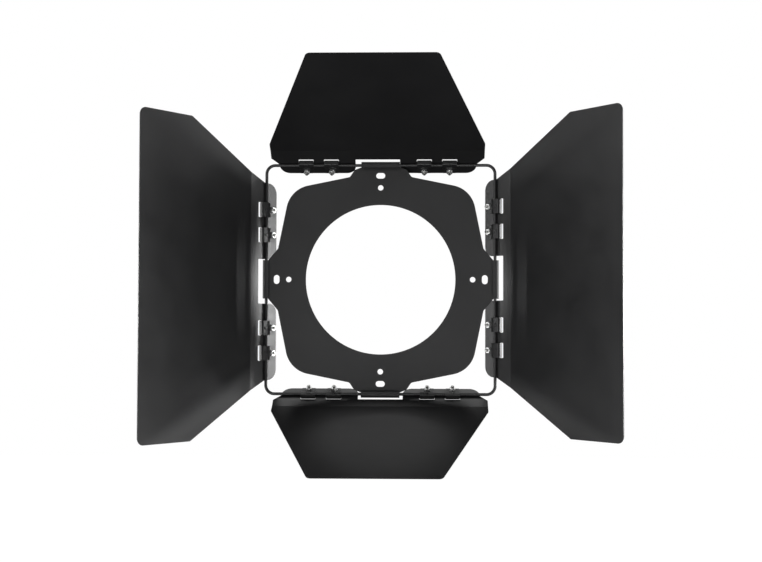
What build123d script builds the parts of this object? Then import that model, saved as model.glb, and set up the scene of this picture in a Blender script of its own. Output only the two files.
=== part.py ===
from build123d import *
import math
import os

# Four-leaf barn door set for a studio lamp.
# Units are millimetres and degrees. X is to the right, Z is up, and light leaves towards -Y.
# The origin is the centre of the mounting plate's back face, which bolts against the lamp.

# ---- Mounting plate ----
plate_thickness = 2.0
aperture_radius = 74.0
shoulder_half_width = 101.7     # centre to the plate's edge beside a tab
shoulder_half_height = 30.6     # where that edge starts, measured from the tab's middle
end_neck = (108.7, 25.9)        # extra corner that makes the top and bottom necks wider
shoulder_slope = 11.5           # the plate's edges lean in by this angle
plate_corner_radius = 27.0
neck_fillet = 3.0
tab_half_width = 19.0
bolt_circle_radius = 91.0
bolt_hole_radius = 2.75
slot_circle_radius = 103.0
slot_width = 5.8
slot_length = 9.0

# ---- Wire frame ----
rod_radius = 1.5
rod_half_side = 113.0
rod_corner_radius = 8.5
rod_gap = 0.05                  # running gap between the wire and whatever wraps it
quarter_turns = (0, 90, 180, 270)
side_angles = (0, 180)          # the left and right sides, whose necks have no extra corner

# ---- Tab curls ----
curl_end_length = 2.2           # flat end that closes each curl over the front of the wire
curl_corner = 1.4

# ---- Leaf sheet, shared ----
sheet_thickness = 1.0
bend_radius = 1.6
sheet_gap = 0.1                 # extra clearance between the wire and the sheets behind it
rod_line_half = 97.6            # half-length of every leaf along the wire
flange_corner_radius = 10.5
cutout_half = 22.0              # central opening that clears the tab
cutout_corner_radius = 9.0      # rounds the flange beside that opening
clip_offsets = (-71.0, -46.0, 46.0, 71.0)
clip_slot_length = 14.9
clip_slot_behind_leg = 1.6      # from the leg's outer face back to the slot's inner edge
clip_slot_corner = 0.8
screw_hole_radius = 1.7

# ---- Clips ----
clip_thickness = 0.8
clip_width = 14.2
pad_inner_edge = -11.6
ramp_start = -5.4
leg_depth = 3.5                 # the leg's hooked end, behind the wire's centre
lip_reach = 3.2
clip_bend_radius = 0.3
pad_corner_radius = 1.4
dimple_position = 2.1
dimple_radius = 1.8
dimple_height = 0.7
dimple_rim = 0.6

# ---- Fasteners, M3 ----
screw_position = -8.85
shank_radius = 1.45
screw_tip = 4.2
tip_bevel = 0.4
head_radius = 2.8
head_height = 1.9
head_rim = 0.7
recess_length = 2.6
recess_width = 0.6
recess_depth = 0.9
nut_across_flats = 5.5
nut_height = 2.4
nut_bore_radius = 1.5
nut_bevel = 0.45                # how far the turned corners are cut back, and how tall the cut is
nut_bevel_height = 0.3
nut_turn_step = 17.0            # each nut stops at its own angle

# ---- Leaves ----
# Outlines are (distance outward from the wire, half-length), read from the wire to the tip.
# tilt is the leaf's lean towards the front from the frame's plane; slide is its play along the wire.
side_bend = 18.5
end_bend = 18.4
side_sheet = {
    "bend": side_bend,
    "bend_angle": 10.3,
    "flange": 14.4,
    "slot_outer": 9.0,
    "leg_outer": 6.3,
    "outline": ((side_bend, 107.3), (side_bend + 86.8, 151.8), (side_bend + 156.0, 151.8)),
    "tip_radius": 7.5,
    "shoulder_radius": 3.0,
}
end_sheet = {
    "bend": end_bend,
    "bend_angle": 9.0,
    "flange": 12.2,
    "slot_outer": 6.5,
    "leg_outer": 4.2,
    "outline": ((8.1, 105.3), (end_bend + 10.3, 105.3), (end_bend + 143.5, 60.1)),
    "tip_radius": 5.0,
    "shoulder_radius": 2.0,
}
leaves = {
    "right": {"sheet": side_sheet, "angle": 0, "tilt": 43.5, "slide": 1.4},
    "top": {"sheet": end_sheet, "angle": 90, "tilt": 50.9, "slide": -2.8},
    "left": {"sheet": side_sheet, "angle": 180, "tilt": 47.2, "slide": -2.0},
    "bottom": {"sheet": end_sheet, "angle": 270, "tilt": 57.9, "slide": 0.2},
}

# ---- Derived values ----
wrap_radius = rod_radius + rod_gap
rod_y = -(plate_thickness + wrap_radius)
sheet_front = -(wrap_radius + sheet_gap)
sheet_back = sheet_front - sheet_thickness
pad_top = sheet_front + clip_thickness
lip_top = clip_thickness - leg_depth
cut_reach = 60.0                # longer than any cut needs

os.makedirs("parts", exist_ok=True)


# ---- Places on the frame ----

def outward(angle):
    """Direction from the frame's centre to the wire on the side at this angle."""
    return Vector(math.cos(math.radians(angle)), 0, math.sin(math.radians(angle)))


def wire_point(angle):
    """Middle of the wire on the side at this angle."""
    return outward(angle) * rod_half_side + Vector(0, rod_y, 0)


def wire_section_plane(angle):
    """Cross-section of the wire: x outward, y to the front."""
    return Plane(wire_point(angle), x_dir=outward(angle), z_dir=outward(angle).cross(Vector(0, -1, 0)))


def leaf_plane(leaf):
    """A leaf's own frame: origin on the wire, x along the sheet, z out of its front face."""
    tilt = math.radians(leaf["tilt"])
    away = outward(leaf["angle"])
    front = Vector(0, -1, 0)
    along_wire = Vector(abs(away.Z), 0, abs(away.X))
    return Plane(
        wire_point(leaf["angle"]) + along_wire * leaf["slide"],
        x_dir=away * math.cos(tilt) + front * math.sin(tilt),
        z_dir=front * math.cos(tilt) - away * math.sin(tilt),
    )


def spot(plane, x, y, turn=0):
    """The same plane moved to a point of its own and turned about its normal."""
    turned = plane.x_dir.rotate(Axis((0, 0, 0), plane.z_dir), turn)
    return Plane(plane.from_local_coords(Vector(x, y, 0)), turned, plane.z_dir)


# ---- Fixed pieces ----

def plate_outline():
    """Corner points of the plate, one side after another."""
    lean = math.tan(math.radians(shoulder_slope))
    edge_at_middle = shoulder_half_width + lean * shoulder_half_height
    corner = edge_at_middle / (1 + lean)
    side_neck = [(shoulder_half_width, shoulder_half_height), (rod_half_side - wrap_radius, tab_half_width)]
    points = []
    for angle in quarter_turns:
        neck = side_neck if angle in side_angles else [side_neck[0], end_neck, side_neck[1]]
        side = mirrored(reversed(neck)) + list(reversed(neck)) + [(corner, corner)]
        points += [Vector(*point).rotate(Axis.Z, angle) for point in side]
    return points


def make_plate():
    curl = curl_section()
    with BuildPart() as plate:
        with BuildSketch(Plane.XZ) as face:
            with BuildLine():
                Polyline(*plate_outline(), close=True)
            make_face()
            by_distance = face.vertices().group_by(lambda vertex: round(abs(vertex.X) + abs(vertex.Y), 1))
            fillet(by_distance[-1], plate_corner_radius)
            fillet(face.vertices().filter_by(is_notch), neck_fillet)
            Circle(aperture_radius, mode=Mode.SUBTRACT)
            with PolarLocations(bolt_circle_radius, len(quarter_turns)):
                Circle(bolt_hole_radius, mode=Mode.SUBTRACT)
            with PolarLocations(slot_circle_radius, len(quarter_turns)):
                SlotOverall(slot_length, slot_width, rotation=90, mode=Mode.SUBTRACT)
        extrude(amount=plate_thickness)
        for angle in quarter_turns:
            with BuildSketch(wire_section_plane(angle)):
                add(curl)
            extrude(amount=tab_half_width, both=True)
        across_sheet = plate.edges().filter_by(Axis.Y)
        curl_ends = across_sheet.filter_by(lambda edge: edge.center().Y < rod_y - wrap_radius)
        chamfer(curl_ends, curl_corner)
    return plate


def is_notch(vertex):
    """True at the inside corners where the tabs meet the plate."""
    near, far = sorted((abs(vertex.X), abs(vertex.Y)))
    return math.isclose(near, shoulder_half_height) and math.isclose(far, shoulder_half_width)


def curl_section():
    """A tab's end, rolled round the wire from behind and closed over its front."""
    outer = wrap_radius + plate_thickness
    inner = wrap_radius
    with BuildSketch() as section:
        with BuildLine():
            Polyline((0, -inner), (-2 * inner, -inner), (-2 * inner, -outer), (0, -outer))
            ThreePointArc((0, -outer), (outer, 0), (0, outer))
            Polyline((0, outer), (-curl_end_length, outer), (-curl_end_length, inner), (0, inner))
            ThreePointArc((0, inner), (inner, 0), (0, -inner))
        make_face()
    return section.sketch


def make_rod_frame():
    corners = [(x * rod_half_side, y * rod_half_side) for x, y in ((-1, -1), (1, -1), (1, 1), (-1, 1))]
    with BuildPart() as rod_frame:
        with BuildLine(Plane.XZ.offset(-rod_y)) as ring:
            FilletPolyline(*corners, radius=rod_corner_radius, close=True)
        with BuildSketch(Plane(ring.line @ 0, z_dir=ring.line % 0)):
            Circle(rod_radius)
        sweep()
    return rod_frame


# ---- Leaf pieces, each in a leaf's own frame ----

def sheet_section(sheet):
    """Cross-section of a leaf: flange, hinge strip and the panel bent towards the front."""
    bend = math.radians(sheet["bend_angle"])
    length = sheet["outline"][-1][0] - sheet["bend"]
    inner_bend = Vector(sheet["bend"], sheet_front)
    outer_bend = inner_bend + Vector(math.tan(bend / 2), -1) * sheet_thickness
    tip = inner_bend + Vector(math.cos(bend), math.sin(bend)) * length
    tip_back = tip + Vector(math.sin(bend), -math.cos(bend)) * sheet_thickness
    flange_front = Vector(-sheet["flange"], sheet_front)
    flange_back = Vector(-sheet["flange"], sheet_back)
    with BuildSketch() as section:
        with BuildLine():
            Polyline(flange_front, inner_bend, tip, tip_back, outer_bend, flange_back, close=True)
        make_face()
        fillet(section.vertices().sort_by_distance(inner_bend)[0], bend_radius)
        fillet(section.vertices().sort_by_distance(outer_bend)[0], bend_radius + sheet_thickness)
    return section.sketch


def plan_distance(sheet, distance):
    """Distance from the wire in the strip's plane of a point that far along the bent sheet."""
    past_bend = max(0.0, distance - sheet["bend"])
    return distance - past_bend + past_bend * math.cos(math.radians(sheet["bend_angle"]))


def sheet_outline(sheet):
    """A leaf's outline, seen square to its hinge strip."""
    half = [(-sheet["flange"], rod_line_half), (0, rod_line_half)]
    half += [(plan_distance(sheet, distance), width) for distance, width in sheet["outline"]]
    tip = plan_distance(sheet, sheet["outline"][-1][0])
    shoulder = plan_distance(sheet, sheet["outline"][-2][0])
    with BuildSketch() as outline:
        with BuildLine():
            Polyline(*half, *mirrored(half), close=True)
        make_face()
        fillet(vertices_at(outline, tip), sheet["tip_radius"])
        fillet(vertices_at(outline, shoulder), sheet["shoulder_radius"])
        fillet(vertices_at(outline, -sheet["flange"]), flange_corner_radius)
        with Locations((sheet["slot_outer"], 0)):
            Rectangle(cut_reach, 2 * cutout_half, align=(Align.MAX, Align.CENTER), mode=Mode.SUBTRACT)
        beside_opening = vertices_at(outline, -sheet["flange"]).sort_by(lambda vertex: abs(vertex.Y))[:2]
        fillet(beside_opening, cutout_corner_radius)
        fillet(vertices_at(outline, sheet["slot_outer"]), clip_slot_corner)
    return outline.sketch


def sheet_cutouts(sheet):
    """Clip slots and screw holes."""
    slot_inner = sheet["leg_outer"] - clip_slot_behind_leg
    slot_depth = sheet["slot_outer"] - slot_inner
    with BuildSketch() as cutouts:
        with Locations(*[(slot_inner + slot_depth / 2, offset_along) for offset_along in clip_offsets]):
            RectangleRounded(slot_depth, clip_slot_length, clip_slot_corner)
        with Locations(*[(screw_position, offset_along) for offset_along in clip_offsets]):
            Circle(screw_hole_radius)
    return cutouts.sketch


def mirrored(points):
    """The same points on the other side of a leaf's middle, in the order that closes an outline."""
    return [(x, -y) for x, y in reversed(list(points))]


def make_sheet(sheet):
    section = sheet_section(sheet)
    outline = sheet_outline(sheet)
    cutouts = sheet_cutouts(sheet)
    widest = max(half for _, half in sheet["outline"])
    with BuildPart() as panel:
        with BuildSketch(Plane.XZ):
            add(section)
        extrude(amount=widest, both=True)
        with BuildSketch(Plane.XY):
            add(outline)
        extrude(amount=cut_reach, both=True, mode=Mode.INTERSECT)
        with BuildSketch(Plane.XY):
            add(cutouts)
        extrude(amount=-cut_reach, mode=Mode.SUBTRACT)
    return panel


def vertices_at(sketch, x):
    """The sketch's corners at this distance from the wire."""
    return sketch.vertices().filter_by(lambda vertex: math.isclose(vertex.X, x, abs_tol=0.01))


def make_clip(leg_outer):
    """A strip, flat under the nut, that ramps up, runs flat over the wire and hooks through its slot."""
    leg_inner = leg_outer - clip_thickness
    start_distance = math.hypot(ramp_start, sheet_front)
    ramp = math.atan2(-sheet_front, -ramp_start) + math.asin(wrap_radius / start_distance)
    crest_start = -wrap_radius * math.tan(ramp / 2)
    crest_top = wrap_radius + clip_thickness
    with BuildPart() as clip:
        with BuildSketch(Plane.XZ):
            with BuildLine():
                FilletPolyline(
                    (pad_inner_edge, sheet_front),
                    (ramp_start, sheet_front),
                    (crest_start, wrap_radius),
                    (leg_inner, wrap_radius),
                    (leg_inner, lip_top),
                    (leg_outer - lip_reach, lip_top),
                    radius=clip_bend_radius,
                )
                offset(amount=clip_thickness, side=Side.LEFT)
            make_face()
        extrude(amount=clip_width / 2, both=True)
        fillet(clip.edges().filter_by(Axis.Z).sort_by(Axis.X)[:2], pad_corner_radius)
        with Locations((screw_position, 0, pad_top)):
            Hole(screw_hole_radius)
        with BuildSketch(Plane.XY.offset(crest_top)):
            with Locations((dimple_position, 0)):
                Circle(dimple_radius)
        extrude(amount=dimple_height)
        fillet(clip.edges().filter_by(GeomType.CIRCLE).sort_by(Axis.Z)[-1], dimple_rim)
    return clip


def make_screw():
    """A cross-recessed pan-head screw, put in from behind."""
    with BuildPart() as screw:
        with BuildSketch(Plane.XY.offset(sheet_back)):
            Circle(shank_radius)
        extrude(amount=screw_tip - sheet_back)
        chamfer(screw.edges().filter_by(GeomType.CIRCLE).sort_by(Axis.Z)[-1], tip_bevel)
        with BuildSketch(Plane.XY.offset(sheet_back)):
            Circle(head_radius)
        extrude(amount=-head_height)
        fillet(screw.edges().filter_by(GeomType.CIRCLE).sort_by(Axis.Z)[0], head_rim)
        with BuildSketch(Plane.XY.offset(sheet_back - head_height)):
            Rectangle(recess_length, recess_width)
            Rectangle(recess_width, recess_length)
        extrude(amount=recess_depth, mode=Mode.SUBTRACT)
    return screw


def make_nut():
    """A hexagon nut with its corners turned off at 30 degrees."""
    corner = nut_across_flats / math.sqrt(3)
    with BuildPart() as nut:
        with BuildSketch(Plane.XY.offset(pad_top)):
            RegularPolygon(corner, side_count=6)
            Circle(nut_bore_radius, mode=Mode.SUBTRACT)
        extrude(amount=nut_height)
        with BuildSketch(Plane.XZ):
            with BuildLine():
                Polyline(
                    (0, pad_top),
                    (corner - nut_bevel, pad_top),
                    (corner, pad_top + nut_bevel_height),
                    (corner, pad_top + nut_height - nut_bevel_height),
                    (corner - nut_bevel, pad_top + nut_height),
                    (0, pad_top + nut_height),
                    close=True,
                )
            make_face()
        revolve(axis=Axis.Z, mode=Mode.INTERSECT)
    return nut


def placed(piece, *planes):
    """Copies of a piece, moved from its own frame to each of these planes."""
    with BuildPart() as copies:
        with Locations(*planes):
            add(piece.part)
    return copies


def finish(builder, name):
    """Label a finished piece and write it to its own file."""
    builder.part.label = name
    export_step(builder.part, f"parts/{name}.step")


finish(make_plate(), "mounting_plate")
finish(make_rod_frame(), "rod_frame")

screw_shape = make_screw()
nut_shape = make_nut()

for side, leaf in leaves.items():
    own_plane = leaf_plane(leaf)
    clip_shape = make_clip(leaf["sheet"]["leg_outer"])
    finish(placed(make_sheet(leaf["sheet"]), own_plane), f"leaf_{side}")
    for number, offset_along in enumerate(clip_offsets, start=1):
        finish(placed(clip_shape, spot(own_plane, 0, offset_along)), f"clip_{side}_{number}")
    screw_spots = [spot(own_plane, screw_position, offset_along) for offset_along in clip_offsets]
    nut_spots = [
        spot(own_plane, screw_position, offset_along, turn=number * nut_turn_step)
        for number, offset_along in enumerate(clip_offsets)
    ]
    finish(placed(screw_shape, *screw_spots), f"screws_{side}")
    finish(placed(nut_shape, *nut_spots), f"nuts_{side}")
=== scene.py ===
import math

import bmesh
import bpy
from mathutils import Matrix, Vector


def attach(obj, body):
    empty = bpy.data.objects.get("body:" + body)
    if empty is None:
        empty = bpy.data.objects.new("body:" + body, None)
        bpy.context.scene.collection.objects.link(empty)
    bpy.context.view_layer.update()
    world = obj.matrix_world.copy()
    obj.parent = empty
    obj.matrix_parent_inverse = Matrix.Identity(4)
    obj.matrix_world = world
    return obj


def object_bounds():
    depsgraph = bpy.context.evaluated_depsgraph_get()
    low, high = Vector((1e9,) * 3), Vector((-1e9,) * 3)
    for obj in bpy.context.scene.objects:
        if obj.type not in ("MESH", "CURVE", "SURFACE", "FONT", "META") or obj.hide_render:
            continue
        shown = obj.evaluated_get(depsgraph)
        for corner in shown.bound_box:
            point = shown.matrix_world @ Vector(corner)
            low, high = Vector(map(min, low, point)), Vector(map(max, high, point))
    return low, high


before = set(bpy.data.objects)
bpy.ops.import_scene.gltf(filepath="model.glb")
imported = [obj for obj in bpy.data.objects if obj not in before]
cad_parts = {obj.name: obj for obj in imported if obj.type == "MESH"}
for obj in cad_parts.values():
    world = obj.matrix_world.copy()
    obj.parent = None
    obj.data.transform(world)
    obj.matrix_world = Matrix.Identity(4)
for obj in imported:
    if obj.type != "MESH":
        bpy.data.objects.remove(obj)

# Four-leaf barn door set for a studio lamp: finishes, small details, light and camera.
# Metres. X is to the right, Z is up, and light leaves the lamp towards -Y.

cad_low, cad_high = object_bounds()
mm = 0.001

# ---- Sizes shared with the CAD model ----
rod_half_side = 113.0 * mm
rod_depth = 3.55 * mm                   # the wire's centre, in front of the plate's back face
curl_front = 7.1 * mm                   # front of a tab's curl, from the plate's back face
screw_inward = 8.85 * mm                # from the wire to each screw, measured in the hinge strip
screw_offsets = (-71.0 * mm, -46.0 * mm, 46.0 * mm, 71.0 * mm)
thread_start = 1.55 * mm                # top of the nut, from the wire's centre
thread_end = 3.8 * mm
leaves = {
    "right": {"angle": 0, "tilt": 43.5, "slide": 1.4 * mm},
    "top": {"angle": 90, "tilt": 50.9, "slide": -2.8 * mm},
    "left": {"angle": 180, "tilt": 47.2, "slide": -2.0 * mm},
    "bottom": {"angle": 270, "tilt": 57.9, "slide": 0.2 * mm},
}

# ---- Sizes of the detail pieces ----
thread_pitch = 0.5 * mm
thread_root = 1.40 * mm
thread_crest = 1.50 * mm
thread_steps = 28                       # points in one turn
bead_length = 1.5 * mm
bead_width = 0.8 * mm
bead_height = 0.35 * mm
bead_lobe_along = 0.16                  # how uneven a bead is, as a share of its size, and its waves
bead_waves_along = 3.0
bead_lobe_across = 0.10
bead_waves_across = 4.0

# ---- Paint and plating detail: scales are in features a metre ----
tone_scale = 14.0
dust_cells = 210.0
dust_size = 0.035
dust_colour = (0.16, 0.16, 0.155)
dust_strength = 0.25
rub_width = 0.5 * mm
rub_scale = 90.0
rub_colour = (0.07, 0.07, 0.072)
rub_strength = 0.35
rub_gloss = 0.12
patch_scale = 30.0
wipe_scale = 60.0
ripple_scale = 520.0
grain_scale = 2600.0
grain_share = 0.35                      # the grain's depth, as a share of the ripple's
paint_ior = 1.5
cloud_scale = 420.0
dull_scale = 900.0
mark_scale = 3500.0
mark_depth = 0.006 * mm

# ---- Camera ----
camera_place = Vector((0.0474, -1.4083, -0.0540))
camera_aim = Vector((0.0006, -0.00355, -0.0015))
camera_roll = 0.15
camera_lens = 67.3
camera_sensor = 36.0

# ---- Light ----
# The side lights and front_left reach the side leaves' inner faces, and front_high and front_low the plate.
# high_behind shines through the aperture onto the bottom leaf. The two narrow lights, level with the hinges
# and just behind the plate, reach the side leaves' flanges.
backdrop_light = 1.0
floor_light = 1.0
floor_half = 14.0
floor_drop = 1.2
floor_scale = 3.0
room_light = 0.02
lights = {
    "side_right": {"place": (1.30, -0.35, -0.20), "size": (0.8, 1.2), "power": 17.0},
    "side_left": {"place": (-1.30, -0.35, 0.0), "size": (0.8, 1.2), "power": 7.0},
    "front_left": {"place": (-1.20, -0.80, 0.10), "size": (0.9, 1.3), "power": 10.0},
    "front_high": {"place": (0.0, -1.50, 1.10), "size": (1.6, 0.8), "power": 9.0},
    "front_low": {"place": (0.0, -1.50, -0.90), "size": (1.4, 0.6), "power": 16.0},
    "high_behind": {"place": (0.0, 0.45, 1.15), "size": (0.7, 0.5), "power": 2.4},
    "behind_right": {"place": (1.30, 0.09, 0.0), "size": (0.05, 0.3), "power": 9.0},
    "behind_left": {"place": (-1.30, 0.09, 0.0), "size": (0.05, 0.3), "power": 3.0},
}


# ---- Node helpers ----

def new_material(name):
    """An empty material with a Principled shader. Returns the material, its nodes' tree and the shader."""
    material = bpy.data.materials.new(name)
    material.use_nodes = True
    tree = material.node_tree
    tree.nodes.clear()
    output = tree.nodes.new("ShaderNodeOutputMaterial")
    shader = tree.nodes.new("ShaderNodeBsdfPrincipled")
    tree.links.new(shader.outputs["BSDF"], output.inputs["Surface"])
    return material, tree, shader


def noise(tree, scale, detail=3.0, distortion=0.0, stretch=(1.0, 1.0, 1.0)):
    """Noise in the piece's own space; scale is in features a metre."""
    place = tree.nodes.new("ShaderNodeTexCoord")
    mapping = tree.nodes.new("ShaderNodeMapping")
    mapping.inputs["Scale"].default_value = stretch
    texture = tree.nodes.new("ShaderNodeTexNoise")
    texture.inputs["Scale"].default_value = scale
    texture.inputs["Detail"].default_value = detail
    texture.inputs["Distortion"].default_value = distortion
    tree.links.new(place.outputs["Object"], mapping.inputs["Vector"])
    tree.links.new(mapping.outputs["Vector"], texture.inputs["Vector"])
    return texture.outputs["Fac"]


def remap(tree, value, low, high, to_low, to_high):
    """A value rescaled from one range to another, and held inside it."""
    node = tree.nodes.new("ShaderNodeMapRange")
    for name, number in (("From Min", low), ("From Max", high), ("To Min", to_low), ("To Max", to_high)):
        node.inputs[name].default_value = number
    tree.links.new(value, node.inputs["Value"])
    return node.outputs["Result"]


def combine(tree, operation, first, second):
    """Two values put together. Either may be a plain number."""
    node = tree.nodes.new("ShaderNodeMath")
    node.operation = operation
    for socket, value in zip(node.inputs, (first, second)):
        if isinstance(value, float):
            socket.default_value = value
        else:
            tree.links.new(value, socket)
    return node.outputs["Value"]


def blend_colours(tree, factor, first, second):
    """Between two colours, or a colour and another node's colour."""
    node = tree.nodes.new("ShaderNodeMix")
    node.data_type = "RGBA"
    tree.links.new(factor, node.inputs["Factor"])
    for name, colour in (("A", first), ("B", second)):
        socket = [s for s in node.inputs if s.name == name and s.type == "RGBA"][0]
        if isinstance(colour, tuple):
            socket.default_value = (*colour, 1.0)
        else:
            tree.links.new(colour, socket)
    return [s for s in node.outputs if s.type == "RGBA"][0]


def bump(tree, height, distance, onto=None):
    """A bump of this depth, on top of another where one is given."""
    node = tree.nodes.new("ShaderNodeBump")
    node.inputs["Distance"].default_value = distance
    tree.links.new(height, node.inputs["Height"])
    if onto is not None:
        tree.links.new(onto, node.inputs["Normal"])
    return node.outputs["Normal"]


def specks(tree, cells, size):
    """Sparse round specks: 1 inside a speck and 0 elsewhere."""
    place = tree.nodes.new("ShaderNodeTexCoord")
    texture = tree.nodes.new("ShaderNodeTexVoronoi")
    texture.inputs["Scale"].default_value = cells
    tree.links.new(place.outputs["Object"], texture.inputs["Vector"])
    return remap(tree, texture.outputs["Distance"], size * 0.5, size, 1.0, 0.0)


def edge_mask(tree, radius):
    """1 along sharp edges and 0 on open faces."""
    rounded = tree.nodes.new("ShaderNodeBevel")
    rounded.inputs["Radius"].default_value = radius
    plain = tree.nodes.new("ShaderNodeNewGeometry")
    alike = tree.nodes.new("ShaderNodeVectorMath")
    alike.operation = "DOT_PRODUCT"
    tree.links.new(rounded.outputs["Normal"], alike.inputs[0])
    tree.links.new(plain.outputs["Normal"], alike.inputs[1])
    return remap(tree, alike.outputs["Value"], 0.80, 0.99, 1.0, 0.0)


# ---- Finishes ----

def powder_coat(name, dark, light, roughness, spread, ripple):
    """Black powder coat: fine grain over a slow ripple, with uneven gloss, dust and slightly rubbed edges."""
    material, tree, shader = new_material(name)
    tone = noise(tree, tone_scale, detail=5.0, distortion=0.4)
    colour = blend_colours(tree, remap(tree, tone, 0.35, 0.65, 0.0, 1.0), dark, light)
    dust = specks(tree, dust_cells, dust_size)
    colour = blend_colours(tree, combine(tree, "MULTIPLY", dust, dust_strength), colour, dust_colour)
    rubbed = combine(tree, "MULTIPLY", edge_mask(tree, rub_width), noise(tree, rub_scale, detail=4.0))
    colour = blend_colours(tree, combine(tree, "MULTIPLY", rubbed, rub_strength), colour, rub_colour)
    tree.links.new(colour, shader.inputs["Base Color"])

    clouds = noise(tree, patch_scale, detail=6.0)
    patches = remap(tree, clouds, 0.3, 0.7, roughness - spread, roughness + spread)
    streaks = noise(tree, wipe_scale, detail=3.0, stretch=(0.25, 1.0, 2.5))
    wipes = remap(tree, streaks, 0.55, 0.75, 0.0, spread)
    gloss = combine(tree, "SUBTRACT", patches, wipes)
    gloss = combine(tree, "SUBTRACT", gloss, combine(tree, "MULTIPLY", rubbed, rub_gloss))
    tree.links.new(gloss, shader.inputs["Roughness"])

    slow = bump(tree, noise(tree, ripple_scale, detail=2.0), ripple)
    fine = bump(tree, noise(tree, grain_scale, detail=3.0), ripple * grain_share, onto=slow)
    tree.links.new(fine, shader.inputs["Normal"])
    shader.inputs["IOR"].default_value = paint_ior
    return material


def zinc(name, dark, light, roughness, spread):
    """Bright zinc plating: a cloudy passivated tone, fine tumbling marks and duller patches."""
    material, tree, shader = new_material(name)
    shader.inputs["Metallic"].default_value = 1.0
    cloud = noise(tree, cloud_scale, detail=4.0, distortion=0.8)
    colour = blend_colours(tree, remap(tree, cloud, 0.3, 0.7, 0.0, 1.0), dark, light)
    tree.links.new(colour, shader.inputs["Base Color"])
    dull = remap(tree, noise(tree, dull_scale, detail=4.0), 0.3, 0.7, roughness - spread, roughness + spread)
    tree.links.new(dull, shader.inputs["Roughness"])
    marks = bump(tree, noise(tree, mark_scale, detail=3.0, stretch=(1.0, 1.0, 3.0)), mark_depth)
    tree.links.new(marks, shader.inputs["Normal"])
    return material


finishes = {
    "plate_paint": powder_coat(
        "plate_powder_coat", (0.012, 0.012, 0.0125), (0.016, 0.016, 0.0165), 0.50, 0.04, 0.020 * mm),
    "rod_paint": powder_coat(
        "rod_powder_coat", (0.010, 0.010, 0.0105), (0.014, 0.014, 0.0145), 0.36, 0.04, 0.010 * mm),
    "leaf_paint": powder_coat(
        "leaf_powder_coat", (0.009, 0.009, 0.0095), (0.012, 0.012, 0.0125), 0.34, 0.03, 0.012 * mm),
    "clip_paint": powder_coat(
        "clip_powder_coat", (0.009, 0.009, 0.0095), (0.013, 0.013, 0.0135), 0.38, 0.04, 0.010 * mm),
    # The screws' zinc is much darker than the nuts' zinc: painted shade standing in for the dark grooves of
    # the threads.
    "screw_zinc": zinc("screw_zinc_with_painted_thread_shade", (0.30, 0.30, 0.29), (0.44, 0.44, 0.43), 0.34, 0.07),
    "nut_zinc": zinc("nut_zinc_plate", (0.78, 0.79, 0.80), (0.90, 0.90, 0.88), 0.44, 0.08),
}


def finish_node(node):
    """Puts the detailed finish on a CAD node in place of its plain slot colour."""
    for place in node.material_slots:
        place.material = finishes[place.material.name.split(".")[0]]


# ---- Detail pieces ----

def leaf_space(leaf):
    """A leaf's own space: origin on the wire, x along the sheet, z out of its front face."""
    turn = math.radians(leaf["angle"])
    tilt = math.radians(leaf["tilt"])
    away = Vector((math.cos(turn), 0.0, math.sin(turn)))
    front = Vector((0.0, -1.0, 0.0))
    along_wire = Vector((abs(away.z), 0.0, abs(away.x)))
    x_axis = away * math.cos(tilt) + front * math.sin(tilt)
    z_axis = front * math.cos(tilt) - away * math.sin(tilt)
    origin = away * rod_half_side + front * rod_depth + along_wire * leaf["slide"]
    space = Matrix((x_axis, z_axis.cross(x_axis), z_axis)).transposed().to_4x4()
    space.translation = origin
    return space


def new_piece(name, mesh_builder, slot, body):
    """Turns a bmesh into a smooth-shaded piece that rides on a body."""
    mesh = bpy.data.meshes.new(name)
    mesh_builder.normal_update()
    mesh_builder.to_mesh(mesh)
    mesh_builder.free()
    for face in mesh.polygons:
        face.use_smooth = True
    mesh.materials.append(finishes[slot])
    piece = bpy.data.objects.new(name, mesh)
    bpy.context.scene.collection.objects.link(piece)
    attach(piece, body)
    return piece


def add_thread(builder, space):
    """A helical ridge round one screw's end, from the nut to the bevelled tip."""
    turns = (thread_end - thread_start) / thread_pitch
    count = round(turns * thread_steps)
    profile = ((thread_root, -0.5), (thread_crest, 0.0), (thread_root, 0.5))
    rows = []
    for step in range(count + 1):
        angle = 2 * math.pi * step / thread_steps
        height = thread_start + (thread_end - thread_start) * step / count
        row = []
        for radius, across in profile:
            z = min(max(height + across * thread_pitch, thread_start), thread_end)
            point = Vector((radius * math.cos(angle), radius * math.sin(angle), z))
            row.append(builder.verts.new(space @ point))
        rows.append(row)
    for near, far in zip(rows, rows[1:]):
        for column in range(len(profile)):
            following = (column + 1) % len(profile)
            builder.faces.new((near[column], near[following], far[following], far[column]))
    builder.faces.new(reversed(rows[0]))
    builder.faces.new(rows[-1])


def make_threads(side, leaf):
    builder = bmesh.new()
    for offset_along in screw_offsets:
        centre = Matrix.Translation((-screw_inward, offset_along, 0.0))
        add_thread(builder, leaf_space(leaf) @ centre)
    bmesh.ops.remove_doubles(builder, verts=builder.verts, dist=1e-7)
    bmesh.ops.recalc_face_normals(builder, faces=builder.faces)
    return new_piece(f"threads_{side}", builder, "screw_zinc", f"{side}_leaf")


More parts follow.
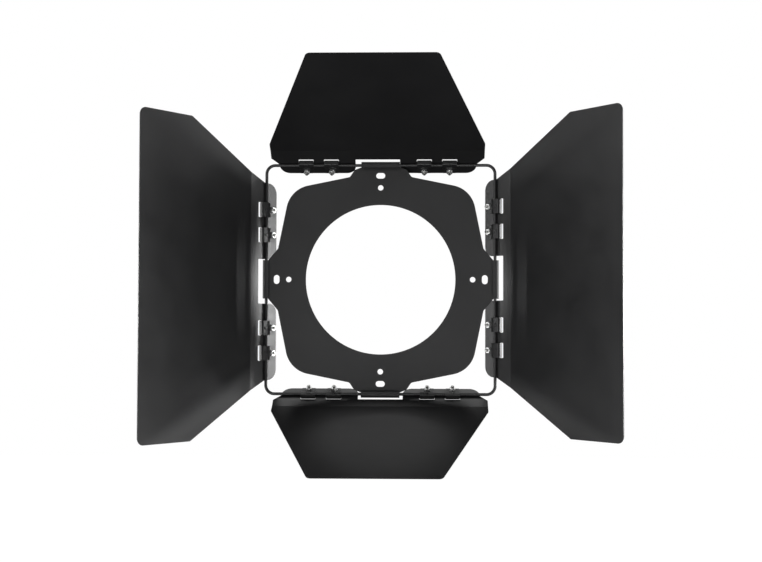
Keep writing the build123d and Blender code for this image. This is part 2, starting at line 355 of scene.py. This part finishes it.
def make_bead(side, leaf):
    """A drop of paint left where the coat ran together at the end of a curl."""
    turn = math.radians(leaf["angle"])
    away = Vector((math.cos(turn), 0.0, math.sin(turn)))
    front = Vector((0.0, -1.0, 0.0))
    along = away.cross(front)
    middle = away * (rod_half_side - bead_width) + front * curl_front
    builder = bmesh.new()
    bmesh.ops.create_icosphere(builder, subdivisions=4, radius=1.0)
    for vertex in builder.verts:
        lobe = (
            1.0
            + bead_lobe_along * math.sin(bead_waves_along * vertex.co.x + leaf["tilt"])
            + bead_lobe_across * math.cos(bead_waves_across * vertex.co.y)
        )
        shape = along * (vertex.co.x * bead_length * lobe) + away * (vertex.co.y * bead_width * lobe)
        vertex.co = middle + shape + front * (vertex.co.z * bead_height)
    return new_piece(f"curl_bead_{side}", builder, "plate_paint", "frame")


# ---- Stage ----

def emission_mix(tree, camera_strength, other_strength, surface):
    """One brightness for what the camera sees directly, and another for light falling on the object."""
    path = tree.nodes.new("ShaderNodeLightPath")
    strength = remap(tree, path.outputs["Is Camera Ray"], 0.0, 1.0, other_strength, camera_strength)
    tree.links.new(strength, surface.inputs["Strength"])


def make_world():
    world = bpy.data.worlds.new("studio")
    world.use_nodes = True
    tree = world.node_tree
    surface = tree.nodes["Background"]
    surface.inputs["Color"].default_value = (1.0, 1.0, 1.0, 1.0)
    emission_mix(tree, backdrop_light, room_light, surface)
    bpy.context.scene.world = world


def make_floor():
    """A wide pale floor far below the part, which hangs as it does on its lamp."""
    mesh = bpy.data.meshes.new("floor")
    corners = [(x * floor_half, y * floor_half) for x, y in ((-1, -1), (1, -1), (1, 1), (-1, 1))]
    mesh.from_pydata([(x, y, cad_low.z - floor_drop) for x, y in corners], [], [(0, 1, 2, 3)])
    floor = bpy.data.objects.new("floor", mesh)
    bpy.context.scene.collection.objects.link(floor)
    material, tree, shader = new_material("floor_paper")
    grain = remap(tree, noise(tree, floor_scale, detail=5.0), 0.3, 0.7, 0.0, 1.0)
    paper = blend_colours(tree, grain, (0.84, 0.84, 0.83), (0.88, 0.88, 0.87))
    tree.links.new(paper, shader.inputs["Base Color"])
    shader.inputs["Roughness"].default_value = 0.9
    shader.inputs["Emission Color"].default_value = (1.0, 1.0, 1.0, 1.0)
    shader.inputs["Emission Strength"].default_value = floor_light
    mesh.materials.append(material)
    floor.visible_diffuse = False
    floor.visible_glossy = False


def make_light(name, place, size, power):
    data = bpy.data.lights.new(name, "AREA")
    data.shape = "RECTANGLE"
    data.size, data.size_y = size
    data.energy = power
    light = bpy.data.objects.new(name, data)
    light.location = place
    light.rotation_euler = (-Vector(place)).to_track_quat("-Z", "Y").to_euler()
    light.visible_camera = False
    bpy.context.scene.collection.objects.link(light)


def make_camera():
    data = bpy.data.cameras.new("camera")
    data.sensor_width = camera_sensor
    data.lens = camera_lens
    camera = bpy.data.objects.new("camera", data)
    view = (camera_aim - camera_place).to_track_quat("-Z", "Y").to_matrix()
    camera.rotation_euler = (view @ Matrix.Rotation(math.radians(camera_roll), 3, "Z")).to_euler()
    camera.location = camera_place
    bpy.context.scene.collection.objects.link(camera)
    bpy.context.scene.camera = camera


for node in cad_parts.values():
    finish_node(node)
for side, leaf in leaves.items():
    make_threads(side, leaf)
    make_bead(side, leaf)

make_world()
make_floor()
for name, light in lights.items():
    make_light(name, light["place"], light["size"], light["power"])
make_camera()
bpy.context.scene.view_settings.view_transform = "Standard"
